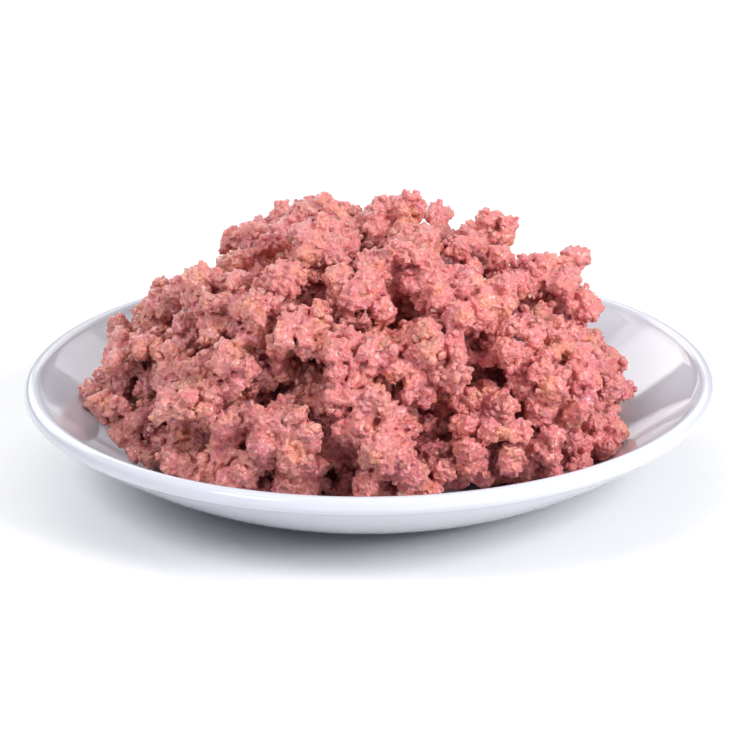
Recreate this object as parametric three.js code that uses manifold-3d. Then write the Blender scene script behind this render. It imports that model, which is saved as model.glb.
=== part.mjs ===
// A white glazed coupe plate with a heap of moist minced food on it.
// Millimetres, +Z up. The origin is the middle of the foot ring, at the level of the table.
// +X is the diner's right, -Y is the front and +Y the back.

import * as THREE from "three";
import { mergeVertices } from "three/addons/utils/BufferGeometryUtils.js";
import { ImprovedNoise } from "three/addons/math/ImprovedNoise.js";
import Module from "manifold-3d";

// The plate
const RIM_RADIUS = 105;
const PLATE_HEIGHT = 31;
const PLATE_SIDES = 72;
const PROFILE_STEPS = 5; // on each curve of the outline
const LIP_RADIUS = 2.6; // the round bead along the rim
const FLOOR_TOP = 6.4;
const FLOOR_RADIUS = 50; // where the flat floor begins to rise
const FOOT_RADIUS = 50;
const FOOT_WIDTH = 4.4;
const FOOT_HEIGHT = 2.4;
const FOOT_FLARE = 1.6; // how far the foot ring's sides lean out over its height
const FOOT_EDGE = [0.6, 0.4]; // the ring's bevelled edges, across and up
const RECESS_HEIGHT = 2.8; // the underside inside the foot ring
// The handles of the wall's two curves, each a radius and a height: outside going up, inside going down.
const OUTSIDE_HANDLES = [68, FOOT_HEIGHT, 84, 12.5];
const INSIDE_HANDLES = [83, 17, 69, FLOOR_TOP];

// The heap: lumps on half an ellipsoid that stands in the plate
const HEAP_CENTRE = new THREE.Vector3(-1, 0, 18);
const HEAP_REACH = new THREE.Vector3(81, 72, 63.5); // half length, half depth, height above its centre
const CORE_SHARE = 0.8; // the body under the lumps, as a share of the whole heap
const HEAP_DETAIL = 26; // of the icosahedron that the heap's surface begins as
const LUMP_SPACING = 16;
const LUMP_RADIUS = [7, 11]; // the smallest and the largest lump placed by rule
const LUMP_SINK = 0.75; // how far a lump's middle lies under the heap's surface, in its own radii
const LUMP_TURN = 0.25; // the most, in radians, that chance turns a lump off its place
const LUMP_ROOM = 0.75; // a lump is left out nearer a main lump than this share of their two radii
const CRAG_HEIGHT = 3;
const CRAG_SIZE = 9;
const FINE_CRAG = 0.5; // crags half as wide are this high, as a share of the others
const SKEW = 0.08; // how far noise turns a lump's outline, as a share of its distance
const HEAP_GAP = 0.4; // the heap's bottom lies this far above the plate
const SEED = 20;

// The lumps that give the heap its outline and its front: right, back, up and radius
const MAIN_LUMPS = {
  leftPeak: [-13, 8, 76, 9.5],
  rightPeak: [11, 6, 77, 9],
  saddle: [0, 7, 73, 10],
  upperLeft: [-29, 14, 71, 10],
  upperLeftEnd: [-39, 8, 67, 9],
  upperRight: [31, 10, 69, 8],
  upperRightEnd: [39, 12, 69, 7],
  rightShoulder: [52, 12, 57, 8],
  ball: [62, 16, 56, 7.5],
  tooth: [-54, 14, 57, 5.5],
  leftShoulder: [-48, 8, 54, 9],
  leftLedge: [-77, 26, 31, 7],
  leftEnd: [-78, 4, 28, 10],
  rightEdge: [66, 12, 42, 7.5],
  rightEnd: [71, 4, 26, 9],
  paleTop: [-14, -12, 73, 11],
  topMiddle: [14, -30, 69, 10],
  paleMiddle: [0, -32, 67, 12],
  glossy: [-24, -26, 68, 10],
  leftColumn: [-35, -36, 59, 12],
  brownLeft: [-47, -25, 58, 11],
  paleLeft: [-37, -45, 48, 13],
  middleLeft: [-18, -44, 57, 13],
  middle: [-6, -50, 53, 14],
  middleRight: [21, -47, 52, 15],
  paleRight: [33, -32, 58, 15],
  curl: [44, -40, 50, 10],
  broadRight: [56, -33, 37, 16],
  lowLeft: [-52, -42, 36, 14],
  lowLeftEnd: [-71, -25, 27, 10],
  lowLeftFoot: [-64, -37, 23, 10],
  frontLeftEnd: [-51, -51, 21, 11],
  frontLeft: [-20, -57, 34, 17],
  frontLeftFoot: [-35, -58, 22, 12],
  frontMiddle: [0, -59, 41, 14],
  frontMiddleFoot: [9, -62, 27, 16],
  frontRight: [34, -55, 28, 15],
  frontRightFoot: [53, -46, 20, 13],
  lowRight: [69, -25, 18, 11],
};

// The deep hollows between the lumps: right, back, up, radius and depth
const HOLLOWS = {
  underPeaks: [-4, -30, 75, 6, 8],
  upperRight: [13, -44, 67, 8, 11],
  upperLeft: [-17, -41, 68, 6, 9],
  left: [-22, -60, 47, 10, 14],
  centre: [18, -64, 41, 12, 16],
  besideCurl: [34, -52, 51, 7, 11],
  right: [72, -28, 30, 6, 8],
  footLeft: [-58, -49, 30, 9, 11],
  footMiddle: [-9, -70, 24, 8, 14],
};

const wasm = await Module();
wasm.setup();
const { Manifold, Mesh } = wasm;
const noise = new ImprovedNoise();

// Mulberry32: the same numbers each run for one seed.
function seededRandom(seed) {
  let state = seed;
  return () => {
    state = (state + 0x6d2b79f5) | 0;
    let t = Math.imul(state ^ (state >>> 15), 1 | state);
    t = (t + Math.imul(t ^ (t >>> 7), 61 | t)) ^ t;
    return ((t ^ (t >>> 14)) >>> 0) / 4294967296;
  };
}

function solidOf(geometry) {
  const bare = geometry.clone();
  bare.deleteAttribute("normal");
  bare.deleteAttribute("uv");
  const merged = mergeVertices(bare, 1e-4);
  return new Manifold(
    new Mesh({
      numProp: 3,
      vertProperties: merged.attributes.position.array,
      triVerts: new Uint32Array(merged.index.array),
    }),
  );
}

function geometryOf(solid) {
  const { vertProperties, triVerts } = solid.getMesh();
  const geometry = new THREE.BufferGeometry();
  geometry.setAttribute("position", new THREE.BufferAttribute(vertProperties, 3));
  geometry.setIndex(new THREE.BufferAttribute(triVerts, 1));
  geometry.computeVertexNormals();
  return geometry;
}

// Turns an outline of radius and height about the Z axis.
function turned(outline) {
  const points = outline.getPoints(PROFILE_STEPS);
  return new THREE.LatheGeometry(points, PLATE_SIDES).rotateX(Math.PI / 2);
}

const LIP_CENTRE = [RIM_RADIUS - LIP_RADIUS, PLATE_HEIGHT - LIP_RADIUS];
const LIP_START = THREE.MathUtils.degToRad(-67.5); // under the bead, where the outer wall meets it
const LIP_END = THREE.MathUtils.degToRad(157.5); // inside the bead, where the hollow begins

function onLip(angle) {
  return [LIP_CENTRE[0] + LIP_RADIUS * Math.cos(angle), LIP_CENTRE[1] + LIP_RADIUS * Math.sin(angle)];
}

// The hollow's curve from the lip down to the middle of the floor.
function addHollow(outline) {
  outline.bezierCurveTo(...INSIDE_HANDLES, FLOOR_RADIUS, FLOOR_TOP);
  outline.lineTo(0, FLOOR_TOP);
}

function plateGeometry() {
  const outline = new THREE.Path();
  const footInside = FOOT_RADIUS - FOOT_WIDTH;
  const [across, up] = FOOT_EDGE;
  outline.moveTo(0, RECESS_HEIGHT);
  outline.lineTo(footInside - FOOT_FLARE, RECESS_HEIGHT);
  outline.lineTo(footInside, up);
  outline.lineTo(footInside + across, 0);
  outline.lineTo(FOOT_RADIUS - across, 0);
  outline.lineTo(FOOT_RADIUS, up);
  outline.lineTo(FOOT_RADIUS + FOOT_FLARE, FOOT_HEIGHT);
  outline.bezierCurveTo(...OUTSIDE_HANDLES, ...onLip(LIP_START));
  outline.absarc(...LIP_CENTRE, LIP_RADIUS, LIP_START, LIP_END, false);
  addHollow(outline);
  return turned(outline);
}

// Everything under the heap: the plate's hollow raised by the gap, and all below it.
function bedSolid() {
  const outline = new THREE.Path();
  outline.moveTo(0, -HEAP_REACH.z);
  outline.lineTo(RIM_RADIUS, -HEAP_REACH.z);
  outline.lineTo(...onLip(LIP_END));
  addHollow(outline);
  return solidOf(turned(outline).translate(0, 0, HEAP_GAP));
}

// How far the heap reaches from its centre along a ray: to the last lump on it, or to the body's surface.
function reachAlong(ray, bodyReach, lumps) {
  let reach = bodyReach;
  for (const { middle, radius } of lumps) {
    const along = middle.dot(ray);
    const inside = along * along - middle.lengthSq() + radius * radius;
    if (inside > 0) reach = Math.max(reach, along + Math.sqrt(inside));
  }
  return reach;
}

// How much the hollows take off that reach.
function dentAlong(ray, reach, hollows) {
  let dent = 0;
  for (const { middle, radius, depth } of hollows) {
    const aside = (reach * middle.angleTo(ray)) / radius;
    if (aside < 1) dent = Math.max(dent, depth * (1 - aside * aside));
  }
  return dent;
}

// Smooth noise of one size at a point; each turn gives another pattern.
function noiseAt(point, size, turn) {
  const at = [point.x / size, point.y / size, point.z / size];
  return noise.noise(at[turn % 3], at[(turn + 1) % 3], at[(turn + 2) % 3] + turn);
}

// A point of the heap's smooth outline, at a turn about Z and a rise of 0 to 1.
function onHeap(turn, rise, sink) {
  const level = Math.sqrt(1 - rise * rise);
  const point = new THREE.Vector3(level * Math.cos(turn), level * Math.sin(turn), rise);
  return point.multiply(HEAP_REACH.clone().subScalar(sink)).add(HEAP_CENTRE);
}

// Lumps spread evenly over the rest of the heap on a spiral, skipping where a main lump is.
function spiralLumps(random) {
  const area = 2 * Math.PI * HEAP_REACH.x * HEAP_REACH.y;
  const count = Math.round(area / LUMP_SPACING ** 2);
  const golden = Math.PI * (3 - Math.sqrt(5));
  const found = [];
  for (let i = 0; i < count; i++) {
    const radius = THREE.MathUtils.lerp(...LUMP_RADIUS, random());
    const rise = 1 - (i + 0.5) / count;
    const turn = i * golden + LUMP_TURN * (2 * random() - 1);
    const middle = onHeap(turn, rise, radius * LUMP_SINK);
    const nearMain = Object.values(MAIN_LUMPS).some(
      ([x, y, z, size]) => middle.distanceTo(new THREE.Vector3(x, y, z)) < LUMP_ROOM * (size + radius),
    );
    if (!nearMain) found.push({ middle: middle.sub(HEAP_CENTRE), radius });
  }
  return found;
}

// The rows of a table above, measured from the heap's centre.
function fromCentre(table) {
  return Object.values(table).map(([x, y, z, radius, depth]) => ({
    middle: new THREE.Vector3(x, y, z).sub(HEAP_CENTRE),
    radius,
    depth,
  }));
}

// The heap's surface is an icosahedron's, each corner moved along its ray to the lump it meets.
function heapGeometry() {
  const lumps = [...fromCentre(MAIN_LUMPS), ...spiralLumps(seededRandom(SEED))];
  const hollows = fromCentre(HOLLOWS);
  const ball = new THREE.IcosahedronGeometry(1, HEAP_DETAIL);
  ball.deleteAttribute("normal");
  ball.deleteAttribute("uv");
  const geometry = mergeVertices(ball, 1e-4);
  const place = geometry.getAttribute("position");
  const point = new THREE.Vector3();
  for (let i = 0; i < place.count; i++) {
    point.fromBufferAttribute(place, i).multiply(HEAP_REACH);
    const bodyReach = CORE_SHARE * point.length();
    const skew = new THREE.Vector3(...[0, 1, 2].map((turn) => SKEW * noiseAt(point, CRAG_SIZE, turn)));
    const ray = point.clone().normalize().add(skew).normalize();
    const reach = reachAlong(ray, bodyReach, lumps);
    point.setLength(reach);
    const crag = noiseAt(point, CRAG_SIZE, 3) + FINE_CRAG * noiseAt(point, CRAG_SIZE / 2, 4);
    point.setLength(reach + CRAG_HEIGHT * crag - dentAlong(ray, reach, hollows)).add(HEAP_CENTRE);
    place.setXYZ(i, point.x, point.y, point.z);
  }
  const bodies = solidOf(geometry).subtract(bedSolid()).decompose();
  bodies.sort((a, b) => b.volume() - a.volume());
  return geometryOf(bodies[0]);
}

function named(name, geometry, colour, roughness) {
  const material = new THREE.MeshStandardMaterial({ color: colour, roughness, metalness: 0 });
  const mesh = new THREE.Mesh(geometry, material);
  mesh.name = name;
  return mesh;
}

const group = new THREE.Group();
group.add(named("plate", plateGeometry(), 0xf4f5f8, 0.12));
group.add(named("meat_heap", heapGeometry(), 0xc2726e, 0.45));

export default group;
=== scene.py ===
"""A white coupe plate with a tall heap of moist minced dog food."""

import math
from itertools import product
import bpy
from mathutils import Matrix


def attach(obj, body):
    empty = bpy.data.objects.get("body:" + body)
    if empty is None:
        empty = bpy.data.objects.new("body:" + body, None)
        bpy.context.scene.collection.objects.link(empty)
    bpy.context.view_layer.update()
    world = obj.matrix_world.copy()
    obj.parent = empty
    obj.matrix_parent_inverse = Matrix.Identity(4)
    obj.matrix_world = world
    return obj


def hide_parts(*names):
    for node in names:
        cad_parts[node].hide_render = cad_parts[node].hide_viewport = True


bl_info = {
    "name": "Plate of minced dog food",
    "version": (1, 0, 0),
    "blender": (4, 5, 0),
    "location": "3D View > Sidebar > Mince",
    "description": "Glazed coupe plate, crumbly heap of mince and a plain studio",
    "category": "Add Mesh",
}

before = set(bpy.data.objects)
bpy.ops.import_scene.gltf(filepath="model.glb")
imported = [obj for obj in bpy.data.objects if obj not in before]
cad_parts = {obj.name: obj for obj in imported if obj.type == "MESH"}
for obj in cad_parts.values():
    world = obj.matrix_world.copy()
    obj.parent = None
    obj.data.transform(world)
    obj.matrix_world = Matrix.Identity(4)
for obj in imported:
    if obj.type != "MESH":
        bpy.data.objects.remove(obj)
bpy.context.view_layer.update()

import bmesh
import bpy
import numpy as np
import openvdb as vdb
from mathutils import Matrix, Vector

MM = 0.001
SEED = 7
# triangles that one sector of the heap may have
MOST_TRIANGLES = 172000
# sectors of the heap: piece, and the angles that it lies between, in degrees
SECTORS = (
    ("mince_front_left", -142, -91),
    ("mince_front_right", -91, -40),
    ("mince_right", -40, 45),
    ("mince_back", 45, 135),
    ("mince_left", 135, 218),
)

# lumps that show at the front, in millimetres: a point on the heap under each
LUMPS = (
    (-22, -67, 42), (-59, -52, 38), (-40, -56, 54), (-23, -36, 73), (-76, -18, 41), (-27, -36, 72),
    (28, -64, 35), (-14, -20, 78), (-20, -55, 64), (19, -36, 70), (-19, -73, 32), (-6, -68, 48),
    (26, -62, 55), (1, -43, 70), (-59, -31, 48), (7, -75, 34), (10, -77, 31), (42, -49, 53),
    (-49, -54, 43), (13, -59, 49), (-8, -40, 71), (29, -44, 64), (-35, -46, 67), (35, -64, 38),
    (-36, -70, 26), (22, -59, 60), (34, -49, 40), (61, -47, 38), (-40, -69, 23), (19, -72, 25),
    (-38, -54, 37), (6, -71, 44), (-68, -24, 50), (-7, -61, 62), (-51, -29, 67), (2, -60, 59),
    (-77, -31, 31), (16, -55, 63), (15, -33, 78), (57, -15, 50), (52, -50, 44), (52, -54, 30),
    (-26, -55, 59), (-5, -72, 40), (-1, -73, 23), (41, -69, 31), (-33, -50, 61), (30, -27, 71),
    (2, 2, 80), (-31, -70, 32), (-29, 5, 71), (49, -47, 37), (-50, -43, 51), (-38, -34, 71),
    (60, -4, 60), (64, -49, 27), (-52, -61, 27),
)
# smaller ones beside and on them
SMALL_LUMPS = (
    (12, -56, 45), (-15, -48, 68), (-21, -37, 63), (1, -35, 77), (-25, -61, 42), (11, -60, 36),
    (-47, -42, 59), (-63, -30, 42), (-61, -44, 35), (-46, -53, 35), (-29, -32, 75), (3, -57, 60),
    (27, -60, 36), (-42, -60, 32), (-54, -53, 44), (-38, -56, 57), (-15, -52, 48), (2, -75, 28),
    (4, -47, 66), (9, -58, 52), (29, -68, 31), (-45, -54, 45), (28, -16, 74), (-56, -32, 57),
    (-37, 0, 70), (20, -36, 66), (3, -70, 49), (-8, -59, 65), (-63, -29, 53), (13, -36, 71),
    (-79, -25, 32), (-17, -58, 59), (-46, -40, 65), (45, -47, 43), (27, -47, 65), (29, -55, 43),
    (-9, -45, 68), (4, -75, 32), (-67, -40, 33), (70, -40, 38), (-15, -54, 65), (-8, -66, 50),
    (0, -75, 32), (-59, -51, 21), (30, -35, 72), (-15, -73, 38), (20, -37, 73), (-40, -47, 33),
    (18, -74, 31), (-21, 8, 76), (22, -61, 52), (-45, -51, 55), (-45, -63, 25), (1, -64, 54),
    (-57, -43, 25), (-15, -21, 75), (40, -49, 57), (10, -3, 78), (4, -3, 80), (51, -57, 25),
    (-31, -44, 69), (33, -67, 23), (0, -73, 38), (18, -59, 59), (-22, -73, 30), (56, -27, 55),
    (51, -46, 50), (-34, -63, 41), (-30, -67, 42), (-16, -72, 31), (49, -44, 57), (-49, -56, 40),
    (1, -40, 73), (-41, -57, 51), (-11, -63, 53), (-3, -70, 46), (40, -60, 40), (38, -48, 52),
    (38, -37, 71), (-70, -44, 30), (27, -64, 24), (-53, -31, 65), (-36, -58, 50), (-3, -13, 75),
    (4, -61, 55), (-33, -70, 24), (18, -42, 34), (-74, -23, 39), (11, -32, 79), (53, -8, 64),
    (-24, -51, 50), (42, -42, 66), (-14, -67, 25), (-28, -41, 67),
)
# dark crevices between them: a point at the mouth, and its radius where it isn't the usual one
USUAL_CREVICE = 1.9
CREVICES = (
    (24, -68, 20, 4.2), (-18, -32, 65, 3.4), (-29, -67, 20, 3.8), (7, -77, 24, 4.1),
    (7, -66, 51, 3.3), (14, -53, 66, 3.9), (35, -43, 44, 3.3), (-24, -55, 43, 3.6),
    (23, -49, 37, 3.9), (-4, -27, 72, 2.8), (31, -48, 53, 4), (22, -54, 35, 4.4),
    (-6, -57, 15, 4.6), (13, -51, 36, 3), (66, -47, 35, 2.6), (-66, -44, 41, 4), (36, -69, 27, 2.8),
    (23, -17, 72, 2.8), (-67, -29, 43, 2.6), (-11, -64, 27, 3.3), (-11, -50, 67, 3.6),
    (28, -57, 38, 3.4), (28, -57, 61, 2.8), (9, -37, 73, 3.6), (-12, -54, 15, 4.6),
    (-73, -28, 35, 3.8), (-37, -66, 32, 2.6), (-13, -60, 46, 3.1), (-3, -74, 29, 3.7),
    (23, -66, 31, 3.3), (-42, -44, 63, 2.4), (59, -55, 22, 3.7), (-11, -71, 38, 3.2),
    (-64, -44, 29, 3.1), (-28, -48, 63, 2.2), (24, -43, 67, 2.2), (-50, -36, 54, 2.4),
    (-49, -55, 32, 3), (61, -54, 22, 3.6), (-33, -33, 73, 2.2), (-60, -43, 28, 3.3),
    (-24, -32, 78, 2.2), (19, -71, 34, 4.6), (-61, -27, 55, 2.5), (-29, -54, 54, 2.8),
    (42, -49, 45, 3.6), (0, -54, 65, 3.7), (-46, -53, 50, 2.2), (49, -58, 21, 3.1),
    (-35, 5, 71, 2.7), (-41, -57, 47, 3.5), (-40, -43, 67, 3), (-9, -70, 43, 2.3),
    (57, -52, 29, 2.9), (-20, -52, 53, 2.6), (-21, -56, 58, 2.7), (-56, -49, 46, 2.2),
    (-2, -58, 63, 3.7), (-5, -57, 66, 2.4), (45, -50, 49, 3.4), (5, -49, 63, 2.8),
    (48, -47, 54, 2.3), (35, -10, 75, 2.7), (-52, -35, 61, 3), (55, -27, 60, 2.2),
    (56, -49, 39, 2.2), (-29, 6, 78, 2.3), (57, -43, 50, 2.2), (-42, -56, 42, 2.2),
    (31, -13, 76, 3), (22, -37, 78), (-18, -53, 70), (68, -39, 32), (6, -74, 22), (-4, -36, 74),
    (-23, -30, 77), (-55, -56, 49), (19, -64, 32), (-33, -37, 73), (37, -66, 23), (41, -48, 59),
    (-22, -64, 46), (-50, -65, 26), (56, -49, 51), (46, -37, 64), (46, -67, 32), (-32, -56, 42),
    (-16, -30, 72), (-28, -53, 64), (34, -31, 71), (-27, -73, 29), (-62, -22, 54), (-26, -60, 56),
    (21, -49, 66), (1, -75, 43), (-2, -69, 52), (22, -57, 66), (60, -49, 22), (-40, -65, 28),
    (-45, -31, 67), (-30, 12, 78), (8, -63, 46), (-67, -25, 41), (-60, -14, 57), (17, -49, 67),
    (-15, -25, 65), (-45, -57, 52), (56, -22, 59), (3, -67, 51), (42, -18, 66), (32, -53, 47),
    (-51, -32, 56), (5, -47, 59), (-32, -57, 54), (-40, 2, 70), (13, -49, 64), (20, -59, 46),
    (-1, -49, 64), (21, -64, 57), (34, -9, 73), (-11, -43, 65), (39, -40, 40), (-29, -55, 48),
    (59, -53, 47), (-55, -59, 35), (-7, -50, 64), (-73, -44, 28), (16, -73, 30), (-63, -44, 20),
    (8, -41, 69), (-46, 6, 70, 3.4), (-69, -7, 55, 4.4), (-60, 6, 62, 3.8), (72, -11, 43, 3.3),
    (-66, -45, 19, 2.5), (44, 3, 71, 2.8), (27, 24, 71, 2.9), (58, 18, 63, 2.5),
    (-81, -32, 27, 2.6), (-3, 7, 81, 2.4), (66, -2, 60, 2.4), (36, 5, 77, 2.5),
)
# what is added last, in order: a point and the radius where it isn't the usual one, or below zero
# where a hollow is carved out
USUAL_TOUCH = 2.8
TOUCHES = (
    (28, -50, 40), (-40, -54, 33), (35, -40, 67), (19, -34, 67), (28, -41, 65), (-26, -68, 38),
    (-25, -58, 40), (21, -66, 23), (-45, -51, 34), (-58, -27, 48), (45, -43, 42), (-37, -42, 65),
    (-2, -69, 22), (39, -41, 63), (-16, -46, 46), (62, -42, 35), (-68, -23, 47), (12, -60, 46),
    (45, -43, 50), (-14, -46, 67), (-39, -55, 48), (-15, -69, 38), (-18, -50, 13), (58, -44, 32),
    (-27, 4, 71), (13, -35, 70), (9, -74, 27), (40, -11, 71), (-8, -68, 45), (-14, -50, 64),
    (-28, -38, 72), (-75, -27, 29), (-50, -31, 62), (-15, -22, 76), (52, -4, 64), (2, -71, 26),
    (-18, -55, 59), (-52, -25, 66), (28, -12, 73), (-45, -50, 44), (58, -8, 60), (-5, -55, 58),
    (28, -32, 70), (5, -1, 76), (55, -22, 50), (4, -42, 64), (13, -75, 26), (1, -29, 76),
    (52, -51, 42), (-7, -17, 76), (29, -65, 29), (-59, -55, 39), (5, -78, 33), (-22, -38, 74),
    (-33, -45, 64), (-59, -47, 19), (8, -58, 54), (-10, -21, 78), (-7, -70, 38), (17, -51, 63),
    (11, 1, 83, 4.2), (-17, 14, 79, 4.5), (75, -29, 22, 2.6), (-77, 9, 42, 3.5), (-85, -1, 28, 2.6),
    (-28, -53, 44, -3.2), (-53, -64, 24, -4.4), (68, -39, 32, -3.2), (60, -51, 20, -3.2),
    (37, -66, 21, -3.2), (-29, 13, 76, -3.2), (-42, -46, 58, -3.2), (23, -34, 76, -1.9),
    (-30, -62, 45, -1.9), (-4, -42, 76, -1.9), (15, -51, 66, -1.9), (-12, -72, 31, -1.9),
    (-5, -73, 22, -3.2), (-20, -32, 76, -1.9), (45, -48, 59, -3.2), (30, -62, 56, -1.9),
    (-48, -62, 26, -1.9), (5, -65, 52, -1.9), (18, -66, 32, -3.2), (-14, -48, 69, -3.2),
    (48, -26, 63, -3.2), (58, -48, 28, -1.9), (14, -62, 43, -1.9), (-27, -52, 52, -1.9),
    (-58, -46, 46, -3.2), (0, -31, 79, -1.9), (20, -66, 51, -1.9), (27, -43, 69, -1.9),
    (33, -8, 75, -3.2), (-37, 1, 75, -3.2), (6, -71, 21, -3.2), (-60, -25, 52, -1.9),
    (-34, -39, 70, -1.9), (-37, -61, 30, -1.9), (-67, -39, 40, -1.9), (24, -61, 30, -1.9),
    (-29, -48, 66, -1.9), (-13, -59, 45, -1.9), (-76, -37, 25, -1.9), (-67, -42, 22, -1.9),
    (46, -70, 30, -1.9), (7, -35, 70, -1.9), (-42, -11, 67, -1.9), (26, -53, 40, -1.9),
    (-14, 3, 80, -1.9), (-75, -25, 34, -1.9), (-17, -53, 67, -1.9), (57, -40, 47, -1.9),
    (-40, -43, 67, -1.9), (-47, -50, 49, -1.9), (-67, -6, 56, -3.4), (74, -5, 39, -3.6),
    (2, 12, 81, -2.9), (-83, 18, 32, -2.8), (-65, -44, 18, -2.4), (77, -30, 23, -2.5),
    (-87, -1, 30, -2.4), (48, -44, 35, 4), (-39, -56, 36, 4), (33, -35, 37), (27, -56, 35),
    (-11, -26, 77, 4), (-42, -52, 51), (45, -44, 40), (-31, 8, 67), (4, -4, 75), (38, -13, 70),
    (11, -57, 35), (0, -71, 30), (63, -41, 42), (-32, -45, 58), (-54, -49, 36, 4), (-57, -32, 49),
    (-19, -54, 14, 5.2), (-40, -66, 23), (-6, -43, 68, 4), (-83, -4, 23, 4), (28, -61, 23),
    (-75, -21, 42), (35, -62, 35), (-25, -40, 70, 4), (24, -56, 58), (59, -49, 35), (19, -66, 20),
    (49, -47, 46), (40, -65, 27), (20, -39, 67), (-22, -40, 73), (8, -77, 34, 4), (-9, -63, 59),
    (6, -18, 73), (55, -33, 52), (-45, -53, 35), (26, -47, 64), (-67, -26, 47), (42, -46, 50),
    (-23, -74, 32), (6, -72, 36), (-23, -61, 40), (51, -57, 25), (-31, -71, 32), (-35, -54, 52),
    (9, -61, 53), (-50, -30, 68), (9, -76, 29), (14, -52, 59), (35, -44, 66), (67, 3, 50, 3.9),
    (39, 9, 73, 3.7), (76, -3, 24, 3.2), (64, 25, 59, 2.6), (-31, 15, 78, 2.3), (68, -42, 33, -3.2),
    (-24, -50, 43, -3.2), (-53, -60, 22, -3.2), (-4, -23, 71, -3.2), (-62, -47, 21, -3.2),
    (-23, -35, 78, -1.9), (59, -51, 21, -4.4), (22, -33, 76, -1.9), (28, -59, 60, -1.9),
    (-39, -54, 61, -1.9), (-31, -71, 23, -1.9), (-13, -63, 40, -4.4), (-50, -60, 22, -1.9),
    (35, -67, 25, -1.9), (27, -54, 37, -1.9), (-29, -49, 51, -1.9), (-30, 13, 79, -3.2),
    (14, -46, 34, -1.9), (31, -9, 75, -1.9), (-5, -71, 21, -1.9), (-16, -69, 43, -1.9),
    (51, -24, 58, -3.2), (5, -63, 50, -1.9), (26, -47, 69, -1.9), (42, -68, 26, -1.9),
    (17, -64, 32, -3.2), (-19, -42, 72, -1.9), (-50, -31, 52, -1.9), (-57, -43, 45, -1.9),
    (14, -3, 82, -1.9), (54, -24, 59, -1.9), (-9, -72, 44, -1.9), (7, -77, 23, -1.9),
    (8, -33, 70, -1.9), (-13, -58, 45, -1.9), (-59, -26, 53, -1.9), (-10, -74, 38, -1.9),
    (-32, -28, 72, -1.9), (38, -47, 59, -1.9), (-76, -36, 25, -3.2), (16, -50, 65, -1.9),
    (-29, -49, 65, -1.9), (49, -15, 64, -1.9), (-2, -67, 54, -1.9), (24, -59, 29, -1.9),
    (-66, -6, 57, -3.4), (74, -6, 37, -2.5), (40, 5, 77, -2.5), (2, 12, 81, -2.7),
    (25, 28, 71, -3.1), (68, 0, 54, -3.1), (-66, -41, 18, -2.4), (50, -3, 69, -2.5),
    (-85, -8, 22, -2.5), (-79, -36, 25, -2.4), (-44, 5, 68, -2.5), (49, -47, 35, 4),
    (33, -43, 39, 4), (29, -58, 34), (46, -45, 41), (-57, -34, 49), (-74, -24, 43), (-36, -66, 27),
    (-39, -59, 36, 4), (-29, 4, 70), (-32, -46, 59), (-21, -64, 19, 5.2), (60, -41, 40),
    (-16, -24, 78, 4), (13, -32, 73), (28, -63, 24), (-41, -55, 53), (3, -79, 35, 5.2),
    (39, -13, 71), (4, -31, 75), (-3, 1, 75), (21, 30, 71), (65, -11, 55), (-45, -54, 44),
    (-54, -54, 39, 4), (-80, -23, 29, 4), (-26, -51, 57), (-27, -41, 65), (-8, -59, 48),
    (32, -45, 66), (0, -42, 66), (6, -75, 37), (20, -42, 67), (26, -50, 65), (6, -60, 53),
    (-46, -56, 37), (72, -33, 35), (-73, -29, 31), (-27, -40, 72), (49, -40, 56), (27, -33, 70),
    (14, -57, 56), (-4, -58, 60),
)
# knobs and crumbs that stand on the heap: room between them and radius in millimetres, and depth
# sunk in radii
KNOBS = ((4.4, (1.6, 2.8), (0.05, 0.9)), (1.85, (0.6, 1.15), (0.05, 0.8)))
# how deep the crags and crevices may go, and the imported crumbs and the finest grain, in millimetres
CORE_DEPTH = 8.0
CRUMB_DEPTH, GRAIN_DEPTH = 0.6, 0.42
# lumps and knobs stand above this height in millimetres, where the plate no longer hides them
LOWEST = 9.0
# the seeded lumps and crevices lie where the heap faces less to the front than this
FRONT = -0.25
# how far from the surface the field is worked out, and how wide the CAD form's facets are melted
ROOM, FACET_BLUR = 9.0, 2.0
# loose crumbs that lie on the heap, in millimetres: piece, how many, radii, how far from round
LOOSE = (
    ("loose_crumbs", 560, (0.7, 1.5), 0.3),
    ("brown_crumbs", 260, (0.6, 1.3), 0.3),
    ("pale_flecks", 70, (0.4, 0.9), 0.5),
)

# the stage's light from all round, at the level of the table and high up
HORIZON, SKY = (0.105, 0.12, 0.16), (0.43, 0.435, 0.45)
# the camera: focal length over the picture's width, sensor in millimetres, angles in degrees, and
# the point that it looks at and its distance in metres
FOCAL_WIDTHS, SENSOR = 2943 / 750, 36
PITCH, ROLL = 19.909, 0.417
AIM, AWAY = (0.001741, 0, 0.02936), 0.9
# soft lamps, in metres: place, what it is turned to, size, power in watts
LAMPS = (
    ("key", (0.58, -0.50, 0.47), (0, 0, 0.03), (0.34, 0.34), 6.35),
    ("fill", (-0.45, -0.46, 0.62), (0, 0, 0.03), (0.26, 0.26), 2.65),
    ("top", (-0.05, 0.10, 0.85), (0, 0, 0.03), (0.7, 0.5), 1.15),
    ("back_panel", (-0.62, 0.78, 0.52), (0.05, 0, 0.03), (0.8, 0.55), 3.1),
    ("backdrop", (0.0, 0.95, 0.55), (0.0, 0.75, 0.0), (1.6, 0.5), 4.0),
)


# ---------------------------------------------------------------- settings

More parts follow.
